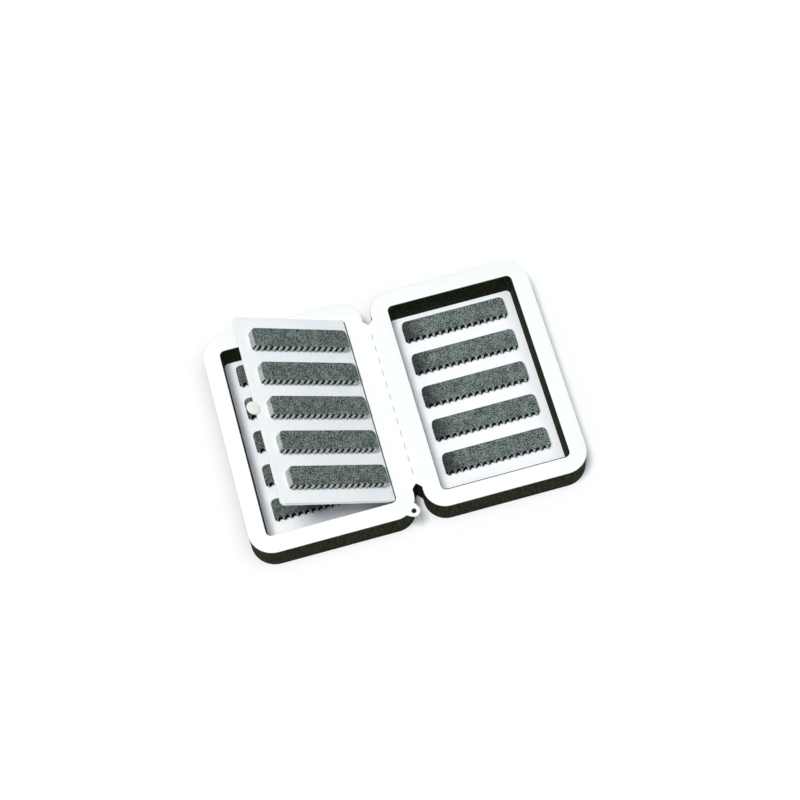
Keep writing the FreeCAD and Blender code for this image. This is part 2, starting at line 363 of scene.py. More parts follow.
def white_sheet(name, grain, colour_high, colour_low, roughness, depth):
    """White polypropylene sheet with a fine pressed grain, in three finishes.

    Nearly flat white with a soft sheen. The grain breaks up the sheen, and slow clouds keep the
    white from being dead even.
    """
    material, add = new_material(name)
    place = add("TexCoord", {}, {}).outputs["Object"]
    fine = add("TexNoise", {}, {
        "Vector": place, "Scale": 1.0 / grain, "Detail": 3.0})
    clouds = add("TexNoise", {}, {
        "Vector": place, "Scale": 0.03 / grain, "Detail": 2.0})
    both = add("Math", {"operation": "ADD"}, {
        0: fine.outputs["Fac"], 1: clouds.outputs["Fac"]})
    share = add("MapRange", {}, {
        "Value": both.outputs["Value"], "From Min": 0.8, "From Max": 1.2})
    colour = add("Mix", {"data_type": "RGBA"}, {
        0: share.outputs["Result"], 6: colour_low, 7: colour_high})
    gloss = add("MapRange", {}, {
        "Value": fine.outputs["Fac"], "From Min": 0.3, "From Max": 0.7,
        "To Min": roughness + 0.06, "To Max": roughness - 0.06})
    bump = add("Bump", {}, {
        "Height": fine.outputs["Fac"], "Strength": 0.4, "Distance": depth})
    surface = add("BsdfPrincipled", {}, {
        "Base Color": colour.outputs[2], "Normal": bump.outputs["Normal"],
        "Roughness": gloss.outputs["Result"], "IOR": 1.49, "Specular IOR Level": 0.3})
    add("OutputMaterial", {}, {"Surface": surface.outputs["BSDF"]})
    return material


def cut_edge(colour):
    """Knife-cut edge of a white sheet.

    A thin grey-green line with a mottled brightness, on the rounded upper edges of the sheets.
    """
    material, add = new_material("Cut polypropylene edge")
    place = add("TexCoord", {}, {}).outputs["Object"]
    torn = add("TexNoise", {}, {
        "Vector": place, "Scale": 1.0 / (2.5 * MM), "Detail": 4.0})
    share = add("MapRange", {}, {
        "Value": torn.outputs["Fac"], "From Min": 0.3, "From Max": 0.7, "To Min": 0.7,
        "To Max": 1.2})
    shaded = add("VectorMath", {"operation": "SCALE"}, {
        0: colour[:3], "Scale": share.outputs["Result"]})
    surface = add("BsdfPrincipled", {}, {
        "Base Color": shaded.outputs["Vector"], "Roughness": 0.7, "IOR": 1.49,
        "Specular IOR Level": 0.2})
    add("OutputMaterial", {}, {"Surface": surface.outputs["BSDF"]})
    return material


def clear_film(colour):
    """Clear polypropylene film: seen only by its gloss and a trace of its own white."""
    material, add = new_material("Clear polypropylene film")
    place = add("TexCoord", {}, {}).outputs["Object"]
    ripple = add("TexNoise", {}, {
        "Vector": place, "Scale": 1.0 / (6.0 * MM), "Detail": 1.0})
    bump = add("Bump", {}, {
        "Height": ripple.outputs["Fac"], "Strength": 0.2, "Distance": 0.05 * MM})
    surface = add("BsdfPrincipled", {}, {
        "Base Color": colour, "Normal": bump.outputs["Normal"], "Roughness": 0.18, "IOR": 1.49,
        "Alpha": 0.08})
    add("OutputMaterial", {}, {"Surface": surface.outputs["BSDF"]})
    return material


def cream_tab(settings, centre):
    """Cream PVC disc, die cut and pressed.

    Warm off-white with a soft gloss, and a slightly darker pressed ring inside its rim.
    """
    material, add = new_material("Pressed PVC")
    place = add("TexCoord", {}, {}).outputs["Object"]
    away = add("VectorMath", {"operation": "DISTANCE"}, {
        0: place, 1: centre})
    rim = add("MapRange", {}, {
        "Value": away.outputs["Value"], "From Min": 0.86 * settings.tab_radius,
        "From Max": 0.95 * settings.tab_radius})
    fine = add("TexNoise", {}, {
        "Vector": place, "Scale": 1.0 / (0.6 * MM), "Detail": 3.0})
    mottled = add("Math", {"operation": "MULTIPLY"}, {
        0: rim.outputs["Result"], 1: fine.outputs["Fac"]})
    colour = add("Mix", {"data_type": "RGBA"}, {
        0: mottled.outputs["Value"], 6: settings.tab, 7: settings.tab_rim})
    bump = add("Bump", {}, {
        "Height": fine.outputs["Fac"], "Strength": 0.3, "Distance": 0.03 * MM})
    surface = add("BsdfPrincipled", {}, {
        "Base Color": colour.outputs[2], "Normal": bump.outputs["Normal"],
        "Roughness": 0.42, "IOR": 1.53})
    add("OutputMaterial", {}, {"Surface": surface.outputs["BSDF"]})
    return material


def nickel_plate():
    """Nickel-plated steel of the magnets: warm grey metal, satin from barrel plating."""
    material, add = new_material("Nickel plate")
    place = add("TexCoord", {}, {}).outputs["Object"]
    fine = add("TexNoise", {}, {
        "Vector": place, "Scale": 1.0 / (0.4 * MM), "Detail": 2.0})
    gloss = add("MapRange", {}, {
        "Value": fine.outputs["Fac"], "To Min": 0.22, "To Max": 0.38})
    surface = add("BsdfPrincipled", {}, {
        "Base Color": linear("#c9c3b8"), "Metallic": 1.0, "Roughness": gloss.outputs["Result"]})
    add("OutputMaterial", {}, {"Surface": surface.outputs["BSDF"]})
    return material


# Meshes

def rounded_outline(corners, step):
    """Points about a step apart along a closed outline through corners (x, y, radius)."""
    stretches = []
    for index, (x, y, radius) in enumerate(corners):
        corner = Vector((x, y))
        to_last = (Vector(corners[index - 1][:2]) - corner).normalized()
        to_next = (Vector(corners[(index + 1) % len(corners)][:2]) - corner).normalized()
        if radius == 0:
            stretches.append([corner])
            continue
        half_angle = to_last.angle(to_next) / 2
        centre = corner + (to_last + to_next).normalized() * (radius / math.sin(half_angle))
        reach = radius / math.tan(half_angle)
        first = corner + to_last * reach - centre
        last = corner + to_next * reach - centre
        turn = math.atan2(first.x * last.y - first.y * last.x, first.dot(last))
        count = max(4, math.ceil(abs(turn) * radius / step), math.ceil(abs(turn) / ARC_TURN))
        stretches.append([
            centre + first @ Matrix.Rotation(-turn * at / count, 2) for at in range(count + 1)])
    points = []
    for index, stretch in enumerate(stretches):
        points.extend(stretch)
        leave = stretch[-1]
        arrive = stretches[(index + 1) % len(stretches)][0]
        count = max(1, round((arrive - leave).length / step))
        points.extend(leave.lerp(arrive, at / count) for at in range(1, count))
    return points


def circle(centre, radius, count=48):
    """Points of a circle."""
    return [centre + radius * Vector((math.cos(a), math.sin(a)))
            for a in (2 * math.pi * at / count for at in range(count))]


def box_outline(low_x, high_x, low_y, high_y, radius, step, high_radius=None):
    """Rounded box. Its corners at high_x can have a radius of their own."""
    if high_radius is None:
        high_radius = radius
    return rounded_outline([
        (low_x, low_y, radius), (high_x, low_y, high_radius),
        (high_x, high_y, high_radius), (low_x, high_y, radius)], step)


def plate_mesh(name, outlines, bottom, top, rounding):
    """Flat piece with rounded edges. The first outline is its rim and the others are holes."""
    curve = bpy.data.curves.new(name, "CURVE")
    curve.dimensions = "2D"
    curve.fill_mode = "BOTH"
    curve.extrude = (top - bottom) / 2 - rounding
    curve.bevel_depth = rounding
    curve.bevel_resolution = 2
    curve.offset = -rounding
    for outline in outlines:
        spline = curve.splines.new("POLY")
        spline.points.add(len(outline) - 1)
        for point, place in zip(spline.points, outline):
            point.co = (place.x, place.y, 0.0, 1.0)
        spline.use_cyclic_u = True
    carrier = bpy.data.objects.new(name, curve)
    bpy.context.collection.objects.link(carrier)
    bpy.context.view_layer.update()
    shown = carrier.evaluated_get(bpy.context.evaluated_depsgraph_get())
    mesh = bpy.data.meshes.new_from_object(shown)
    bpy.data.objects.remove(carrier)
    bpy.data.curves.remove(curve)
    mesh.transform(Matrix.Translation((0.0, 0.0, (bottom + top) / 2)))
    work = bmesh.new()
    work.from_mesh(mesh)
    bmesh.ops.remove_doubles(work, verts=work.verts, dist=MERGE)
    bmesh.ops.recalc_face_normals(work, faces=work.faces)
    work.to_mesh(mesh)
    work.free()
    return mesh


def add_piece(name, mesh, materials, body, nodes):
    """Puts a mesh in the scene, on its body, in place of the CAD nodes that it stands for."""
    mesh.name = name
    piece = bpy.data.objects.new(name, mesh)
    bpy.context.collection.objects.link(piece)
    for material in materials:
        mesh.materials.append(material)
    mesh.shade_smooth()
    mesh.set_sharp_from_angle(angle=SHARP)
    if body:
        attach(piece, body)
    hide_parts(*nodes)
    return piece


def dress_node(node, material):
    """Gives a CAD node that is shown as it is its material."""
    mesh = frame["nodes"][node].data
    mesh.materials.clear()
    mesh.materials.append(material)


def mirrored(mesh):
    """Copy of a mesh on the left half."""
    copy = mesh.copy()
    copy.transform(Matrix.Scale(-1.0, 4, (1.0, 0.0, 0.0)))
    copy.flip_normals()
    return copy


def raised():
    """Turn from the flat leaf up to where it stands."""
    return (Matrix.Translation(LEAF_HINGE) @ Matrix.Rotation(LEAF_ANGLE, 4, "Y")
            @ Matrix.Translation(-LEAF_HINGE))


def flat_box(node):
    """Low and high corners of a CAD node of the leaf, with the leaf laid flat."""
    lay_flat = raised().inverted()
    flat = [lay_flat @ vertex.co for vertex in frame["nodes"][node].data.vertices]
    return [Vector([pick(place[axis] for place in flat) for axis in range(3)])
            for pick in (min, max)]


def push_points(mesh, distance):
    """Moves each point along its normal by distance(place, normal)."""
    old = [(vertex.co.copy(), vertex.normal.copy()) for vertex in mesh.vertices]
    new = [place + normal * distance(place, normal) for place, normal in old]
    mesh.vertices.foreach_set("co", [value for place in new for value in place])
    mesh.update()


def broken_cells(size, depth):
    """How far broken foam cells stand proud at a place."""
    def distance(place, normal):
        lift = noise.noise(place / size) + 0.5 * noise.noise(place * 2.3 / size)
        return depth * lift
    return distance


def same_count_ring(low_x, high_x, low_y, high_y, radii, step):
    """Rounded rectangle whose sides and corners have the same counts for any size near this one."""
    along_x = round((TRAY_HIGH.x - TRAY_LOW.x) / step)
    along_y = round((TRAY_HIGH.y - TRAY_LOW.y) / step)
    around = 16
    corners = [(low_x, low_y, 1, 1), (high_x, low_y, -1, 1),
               (high_x, high_y, -1, -1), (low_x, high_y, 1, -1)]
    arcs = []
    for index, (x, y, side_x, side_y) in enumerate(corners):
        radius = radii[index]
        start = math.pi + index * math.pi / 2
        centre = Vector((x + side_x * radius, y + side_y * radius))
        arcs.append([
            centre + radius * Vector((math.cos(start + at * math.pi / 2 / around),
                                      math.sin(start + at * math.pi / 2 / around)))
            for at in range(around + 1)])
    points = []
    for index, arc in enumerate(arcs):
        points.extend(arc)
        arrive = arcs[(index + 1) % 4][0]
        count = along_x if index % 2 == 0 else along_y
        points.extend(arc[-1].lerp(arrive, at / count) for at in range(1, count))
    return points


def reach_fold(outline, settings, sheet):
    """Moves the fold side of an outline out to the fold, between the two V notches."""
    tip = TRAY_HIGH.y - sheet.tip
    shoulder = TRAY_HIGH.y - sheet.shoulder
    for point in outline:
        share = min(max((shoulder - abs(point.y)) / (shoulder - tip), 0.0), 1.0)
        if point.x < 2 * TRAY_LOW.x:
            point.x -= share * (TRAY_LOW.x - settings.fold_gap)


def foam_frame_mesh(settings, sheet):
    """Foam wall all round the pocket, cut with small strays and rounded edges."""
    step = 0.9 * MM
    edge = settings.edge
    bottom = TRAY_LOW.z
    top = TRAY_HIGH.z
    pocket_low_x = POCKET_LOW.x - settings.pocket_gap
    pocket_high_x = POCKET_HIGH.x + settings.pocket_gap
    pocket_end = POCKET_HIGH.y + settings.pocket_gap
    wall_rows = 18
    heights = [bottom + (top - bottom) * at / wall_rows for at in range(wall_rows + 1)]
    sections = [(edge, top, True), (0.0, top - edge, True)]
    sections += [(0.0, z, True) for z in reversed(heights[1:-1])]
    sections += [(0.0, bottom, True), (0.0, bottom, False)]
    sections += [(0.0, z, False) for z in heights[1:-1]]
    sections += [(0.0, top - edge, False), (edge, top, False)]
    work = bmesh.new()
    loops = []
    for inset, z, outside in sections:
        if outside:
            ring = same_count_ring(
                TRAY_LOW.x + inset, TRAY_HIGH.x - inset, TRAY_LOW.y + inset, TRAY_HIGH.y - inset,
                [settings.fold_corner - inset, settings.outer_corner - inset,
                 settings.outer_corner - inset, settings.fold_corner - inset], step)
            reach_fold(ring, settings, sheet)
        else:
            ring = same_count_ring(
                pocket_low_x - inset, pocket_high_x + inset, -pocket_end - inset,
                pocket_end + inset, [settings.pocket_corner + inset] * 4, step)
        loops.append([work.verts.new((point.x, point.y, z)) for point in ring])
    for loop, following in zip(loops, loops[1:] + loops[:1]):
        for at, vertex in enumerate(loop):
            beside = (at + 1) % len(loop)
            work.faces.new((vertex, loop[beside], following[beside], following[at]))
    bmesh.ops.recalc_face_normals(work, faces=work.faces)
    mesh = bpy.data.meshes.new("foam frame")
    work.to_mesh(mesh)
    work.free()

    stray_width = 1.7 * MM

    def saw_stray(place, normal):
        """Shallow strays, four times as tall as wide, that only cut into the wall."""
        if abs(normal.z) > 0.5 or not bottom + edge < place.z < top - 0.5 * edge:
            return 0.0
        stretched = Vector((place.x, place.y, 0.25 * place.z))
        return settings.wander * (noise.noise(stretched / stray_width) - 0.6)

    push_points(mesh, saw_stray)
    return mesh


def ear_outline(settings, centre, radius, step):
    """Points of the lanyard ear, from the neck at the fold to the neck at the end wall."""
    diagonal = math.radians(-45.0)
    necks = [diagonal + settings.ear_neck, diagonal - settings.ear_neck]
    fold_neck, end_neck = [
        centre + radius * Vector((math.cos(angle), math.sin(angle))) for angle in necks]
    middle = centre + (radius + settings.ear_reach) * Vector((math.cos(diagonal), math.sin(diagonal)))
    touches = []
    for neck, side in ((fold_neck, 1), (end_neck, -1)):
        to_neck = neck - middle
        angle = math.atan2(to_neck.y, to_neck.x)
        touches.append(angle - side * math.acos(settings.ear_radius / to_neck.length))
    first, last = touches
    while last > first:
        last -= 2 * math.pi
    count = math.ceil((first - last) * settings.ear_radius / step)
    arc = [middle + settings.ear_radius * Vector((math.cos(a), math.sin(a)))
           for a in (first + (last - first) * at / count for at in range(count + 1))]
    return middle, necks, [fold_neck] + arc + [end_neck]


def face_outline(settings, tray, step):
    """Rim of the white sheet over both halves, and the middle of the lanyard hole."""
    end = TRAY_HIGH.y
    inset = TRAY_LOW.x
    half = [
        (inset, settings.shoulder - end, 0.0),
        (inset, -end, tray.fold_corner),
        (FACE_HIGH.x, -end, tray.outer_corner),
        (FACE_HIGH.x, end, tray.outer_corner),
        (inset, end, tray.fold_corner),
        (inset, end - settings.shoulder, 0.0)]
    rim = rounded_outline(
        [(0.0, settings.tip - end, settings.tip_round)] + half
        + [(0.0, end - settings.tip, settings.tip_round)]
        + [(-x, y, radius) for x, y, radius in reversed(half)], step)
    centre = Vector((-(inset + tray.fold_corner), tray.fold_corner - end))
    middle, necks, ear = ear_outline(settings, centre, tray.fold_corner, step)
    kept = []
    placed = False
    for point in rim:
        away = point - centre
        angle = math.atan2(away.y, away.x)
        on_corner = abs(away.length - tray.fold_corner) < 10 * MERGE
        if on_corner and necks[1] <= angle <= necks[0]:
            if not placed:
                kept.extend(reversed(ear))
                placed = True
            continue
        kept.append(point)
    return kept, middle


def crease_slots(settings):
    """Slots of the perforated crease."""
    tip = TRAY_HIGH.y - settings.tip
    first = tip - settings.slot_margin - settings.slot_length / 2
    half_width = settings.slot_width / 2
    half_length = settings.slot_length / 2
    slots = []
    for index in range(settings.slots):
        y = -first + 2 * first * index / (settings.slots - 1)
        slots.append(box_outline(-half_width, half_width, y - half_length, y + half_length,
                                 0.7 * half_width, half_length))
    return slots


def slice_across(mesh, axis, places):
    """Adds edges where planes across an axis meet a mesh, so that it can bend or roughen there."""
    work = bmesh.new()
    work.from_mesh(mesh)
    for place in places:
        bmesh.ops.bisect_plane(
            work, geom=work.verts[:] + work.edges[:] + work.faces[:], dist=MERGE,
            plane_co=axis * place, plane_no=axis)
    work.to_mesh(mesh)
    work.free()


def mark_arris(mesh, index, clear_of_fold=0.0, least_x=-1.0):
    """Gives the rounded upper edges of a level sheet another material.

    It keeps clear of the crease, and leaves out edges that face further to -X than least_x.
    """
    for polygon in mesh.polygons:
        rounded = 0.05 < polygon.normal.z < 0.96 and polygon.normal.x >= least_x
        if rounded and abs(polygon.center.x) >= clear_of_fold:
            polygon.material_index = index


def film_mesh(settings):
    """Strip of film, from the face over the hinge line on to the leaf."""
    end_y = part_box("leaf_hinge_leaf_flange")[1].y
    turning = 12
    places = [(settings.film_face, 0.0), (0.5 * (settings.film_face + FILM_BEND), 0.0)]
    for at in range(turning + 1):
        share = at / turning
        places.append((FILM_BEND * (1 - 2 * share), smooth(share)))
    places += [(-0.5 * (settings.film_leaf + FILM_BEND), 1.0), (-settings.film_leaf, 1.0)]
    work = bmesh.new()
    rows = []
    for away, share in places:
        turn = (Matrix.Translation(LEAF_HINGE) @ Matrix.Rotation(LEAF_ANGLE * share, 4, "Y"))
        rest = (FACE_HIGH.z - LEAF_HINGE.z) * (1 - share) + settings.film_lift
        row = []
        for y in (-end_y, end_y):
            for z in (rest, rest + settings.film_thickness):
                row.append(work.verts.new(turn @ Vector((away, y, z))))
        rows.append(row)
    for this, following in zip(rows, rows[1:]):
        for a, b in ((0, 2), (2, 3), (3, 1), (1, 0)):
            work.faces.new((this[a], this[b], following[b], following[a]))
    for row in (rows[0], rows[-1]):
        work.faces.new((row[0], row[1], row[3], row[2]))
    bmesh.ops.recalc_face_normals(work, faces=work.faces)
    mesh = bpy.data.meshes.new("film")
    work.to_mesh(mesh)
    work.free()
    return mesh


def strip_outline(settings, low, high, step):
    """Plan of a strip: rounded back corners, and V teeth along its near side."""
    length = high.x - low.x
    gaps = int((length - 2 * settings.end_least) / settings.tooth_pitch)
    margin = (length - gaps * settings.tooth_pitch) / 2
    corners = [
        (high.x, high.y, settings.back_corner),
        (low.x, high.y, settings.back_corner),
        (low.x, low.y + margin, 0.0),
        (low.x + margin, low.y, 0.0)]
    for gap in range(gaps):
        tip = low.x + margin + gap * settings.tooth_pitch
        corners.append((tip + settings.tooth_pitch / 2, low.y + settings.tooth_depth, 0.0))
        corners.append((tip + settings.tooth_pitch, low.y, 0.0))
    corners.append((high.x, low.y + margin, 0.0))
    return rounded_outline(corners, step)


def smooth(share):
    """Share from 0 to 1 that starts and ends gently."""
    share = min(max(share, 0.0), 1.0)
    return share * share * (3 - 2 * share)


def paint_notch_shade(mesh, settings):
    """Marks how much painted shade each point of a strip takes.

    The shade of the notches starts about halfway from the tips of the teeth to their roots,
    a little nearer the tips low down, and is full before the roots.
    """
    soil = mesh.attributes.new("soil", "FLOAT", "POINT")
    height = STRIP_HIGH.z - STRIP_LOW.z
    for vertex in mesh.vertices:
        towards_root = (vertex.co.y - STRIP_LOW.y) / settings.tooth_depth
        below_top = (STRIP_HIGH.z - settings.edge - vertex.co.z) / height
        if towards_root < 1.1 and below_top > 0.0:
            soil.data[vertex.index].value = settings.notch_soil * smooth(
                4.5 * towards_root + 0.5 * below_top - 2.2)


def strip_mesh(settings):
    """One strip of the right tray, finely meshed, so that its foam can be roughened."""
    outline = strip_outline(settings, STRIP_LOW, STRIP_HIGH, settings.mesh)
    mesh = plate_mesh("strip", [outline], STRIP_LOW.z, STRIP_HIGH.z, settings.edge)
    for axis in range(3):
        direction = Vector([1.0 if axis == at else 0.0 for at in range(3)])
        count = round((STRIP_HIGH[axis] - STRIP_LOW[axis]) / settings.mesh)
        slice_across(mesh, direction, [
            STRIP_LOW[axis] + (STRIP_HIGH[axis] - STRIP_LOW[axis]) * at / count
            for at in range(1, count)])
    paint_notch_shade(mesh, settings)
    return mesh


def paint_tray_strip_shade(mesh, settings, all_over):
    """Adds painted shade at a tray strip's fold end, and a share of it all over the strip."""
    fold_end = min(abs(vertex.co.x) for vertex in mesh.vertices)
    soil = mesh.attributes["soil"]
    for vertex, mark in zip(mesh.vertices, soil.data):
        near = 1.0 - (abs(vertex.co.x) - fold_end) / settings.painted_shade_reach
        unshaded = (1.0 - mark.value) * (1.0 - settings.soil * smooth(near))
        mark.value = 1.0 - unshaded * (1.0 - all_over)


def place_strip(template, node, turn, settings, materials, body):
    """Puts a strip where its CAD node is, and roughens it there.

    Its materials are those of its top, its knife-cut sides drawn pale as painted light, and the
    flanks that face +X and -Y, drawn near black as painted shade.
    """
    mesh = template.copy()
    # Painted shade at the fold-side ends, and all over the strips that lie under the leaf.
    if body != "leaf":
        paint_tray_strip_shade(mesh, settings, settings.leaf_soil if body == "left_half" else 0.0)
    for polygon in mesh.polygons:
        if polygon.normal.z < 0.55:
            # Painted shade: flanks facing +X and -Y, away from the key, get the near-black foam.
            torn = polygon.normal.x > 0.3 and polygon.normal.y < -0.3
            polygon.material_index = 2 if torn else 1
    mesh.transform(turn)
    push_points(mesh, broken_cells(settings.cell, settings.rough))
    piece = add_piece(node + "_cells", mesh, materials, body, [node])


# Operators

class FLYBOX_OT_trays(bpy.types.Operator):
    """Foam walls and bottoms of both trays."""
    bl_idname = "flybox.trays"
    bl_label = "Foam Trays"

    def execute(self, context):
        settings = context.scene.flybox_tray
        sheet = context.scene.flybox_sheet
        foam = tray_foam(settings)
        rim = box_outline(TRAY_LOW.x, TRAY_HIGH.x, TRAY_LOW.y, TRAY_HIGH.y,
                          settings.fold_corner, 1.0 * MM, settings.outer_corner)
        reach_fold(rim, settings, sheet)
        wall = foam_frame_mesh(settings, sheet)
        base = plate_mesh("base", [rim], BASE_LOW.z, BASE_HIGH.z, settings.edge)
        for kind, right in (("_foam_frame", wall), ("_base", base)):
            for side, mesh in (("right", right), ("left", mirrored(right))):
                node = side + kind
                piece = add_piece(node + "_sawn", mesh, [foam], side + "_half", [node])
        return {"FINISHED"}


class FLYBOX_OT_magnets(bpy.types.Operator):
    """Magnets let into the outer rims of both trays."""
    bl_idname = "flybox.magnets"
    bl_label = "Magnets"

    def execute(self, context):
        plate = nickel_plate()
        for node in ("left_magnets", "right_magnets"):
            dress_node(node, plate)
        return {"FINISHED"}


class FLYBOX_OT_face_sheet(bpy.types.Operator):
    """White sheet over both faces, with its crease, notches and lanyard ear."""
    bl_idname = "flybox.face_sheet"
    bl_label = "Face Sheet"

    def execute(self, context):
        settings = context.scene.flybox_sheet
        tray = context.scene.flybox_tray
        rim, middle = face_outline(settings, tray, 2.0 * MM)
        low_x = POCKET_LOW.x - tray.pocket_gap - settings.window_fold_gap
        high_x = POCKET_HIGH.x + tray.pocket_gap + settings.window_outer_gap
        end = POCKET_HIGH.y + tray.pocket_gap + settings.window_end_gap
        leaf_end = POCKET_HIGH.y + tray.pocket_gap + settings.leaf_end_gap
        corner = tray.pocket_corner + settings.window_outer_gap
        windows = [
            box_outline(low_x, high_x, -end, end, corner, 4.0 * MM),
            box_outline(-high_x, -low_x, -leaf_end, leaf_end, corner, 4.0 * MM)]
        outlines = [rim] + windows + crease_slots(settings) + [circle(middle, settings.ear_hole)]
        mesh = plate_mesh("face", outlines, FACE_LOW.z, FACE_HIGH.z, settings.edge)
        half = settings.fold_width / 2
        slice_across(mesh, Vector((1.0, 0.0, 0.0)),
                     [half * at / BEND_CUTS for at in range(-BEND_CUTS, BEND_CUTS + 1)])
        mark_arris(mesh, 1, clear_of_fold=0.5 * MM)
        sheet = white_sheet("Face polypropylene", settings.grain, settings.face,
                            settings.face_shade, 0.5, 0.03 * MM)
        piece = add_piece("face_sheet", mesh, [sheet, cut_edge(settings.cut)], None,
                          ["left_face_sheet", "right_face_sheet", "lanyard_ear"])
        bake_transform(piece)
        return {"FINISHED"}


class FLYBOX_OT_floor_sheets(bpy.types.Operator):
    """White floors of both pockets."""
    bl_idname = "flybox.floor_sheets"
    bl_label = "Floor Sheets"

    def execute(self, context):
        settings = context.scene.flybox_sheet
        floor = white_sheet("Floor polypropylene", settings.grain, settings.floor,
                            settings.floor_shade, 0.45, 0.02 * MM)
        for node in ("left_floor_liner", "right_floor_liner"):
            dress_node(node, floor)
        return {"FINISHED"}


class FLYBOX_OT_strips(bpy.types.Operator):
    """Slit foam strips of both trays and of the leaf."""
    bl_idname = "flybox.strips"
    bl_label = "Foam Strips"

    def execute(self, context):
        settings = context.scene.flybox_strip
        top = strip_foam("Split polyethylene foam", settings, settings.top_dark, settings.top,
                         settings.top_light)
        # One foam in three copies: pale sides are painted light, near-black flanks painted shade.
        cut = strip_foam("Leaf knife-cut polyethylene foam with painted light", settings, settings.side_painted_light_pores,
                         settings.cut, settings.cut)
        tray_side_painted_light = strip_foam("Tray knife-cut polyethylene foam with painted light", settings,
                              settings.tray_side_painted_light_pores, settings.tray_side_painted_light, settings.tray_side_painted_light)
        torn = strip_foam("Polyethylene foam with painted flank shade", settings, settings.flank_painted_shade_pores, settings.torn,
                          settings.torn)
        right = strip_mesh(settings)
        left = mirrored(right)
        for kind, template, foams, body in (
                ("right_foam_strip_", right, [top, tray_side_painted_light, torn], "right_half"),
                ("left_foam_strip_", left, [top, tray_side_painted_light, torn], "left_half"),
                ("leaf_foam_strip_", right, [top, cut, torn], "leaf")):
            for row in ROWS:
                node = kind + str(row)
                if body == "leaf":
                    turn = raised() @ Matrix.Translation(flat_box(node)[0] - STRIP_LOW)
                else:
                    turn = Matrix.Translation(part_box(node)[0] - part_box(kind + "1")[0])
                place_strip(template, node, turn, settings, foams, body)
        for template in (right, left):
            bpy.data.meshes.remove(template)
        return {"FINISHED"}


class FLYBOX_OT_leaf(bpy.types.Operator):
    """White board of the swing leaf."""
    bl_idname = "flybox.leaf"
    bl_label = "Swing Leaf"

    def execute(self, context):
        settings = context.scene.flybox_leaf
        low, high = flat_box("leaf_plate")
        rim = box_outline(low.x, high.x, low.y, high.y, settings.free_corner, 2.0 * MM,
                          settings.hinge_corner)
        board = white_sheet("Leaf polypropylene", context.scene.flybox_sheet.grain,
                            settings.board, settings.board_shade, 0.45, 0.02 * MM)
        mesh = plate_mesh("leaf", [rim], high.z - settings.thickness, high.z, settings.edge)
        # Painted shade: the grey edge line is left off the free edge, which faces the key at -X.
        mark_arris(mesh, 1, least_x=-0.1)
        mesh.transform(raised())
        add_piece("leaf_board", mesh, [board, cut_edge(settings.cut)], "leaf", ["leaf_plate"])
        return {"FINISHED"}


class FLYBOX_OT_leaf_film(bpy.types.Operator):
    """Film hinge of the leaf, one strip that bends over the hinge line."""
    bl_idname = "flybox.leaf_film"
    bl_label = "Leaf Film Hinge"

    def execute(self, context):
        settings = context.scene.flybox_leaf
        piece = add_piece("leaf_film_hinge", film_mesh(settings), [clear_film(settings.film)], None,
                          ["leaf_hinge_face_flange", "leaf_hinge_leaf_flange"])
        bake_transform(piece)
        return {"FINISHED"}


class FLYBOX_OT_thumb_tab(bpy.types.Operator):
    """Round thumb tab of the leaf, with a soft edge."""
    bl_idname = "flybox.thumb_tab"
    bl_label = "Thumb Tab"

    def execute(self, context):
        settings = context.scene.flybox_leaf
        low, high = flat_box("leaf_thumb_tab")
        middle = (low + high) / 2
        rim = circle(middle.to_2d(), settings.tab_radius, 72)
        mesh = plate_mesh("tab", [rim], low.z, high.z, 0.3 * settings.tab_thickness)
        mesh.transform(raised())
        centre = raised() @ middle
        add_piece("leaf_thumb_tab_disc", mesh, [cream_tab(settings, centre)], "leaf",
                  ["leaf_thumb_tab"])
        return {"FINISHED"}


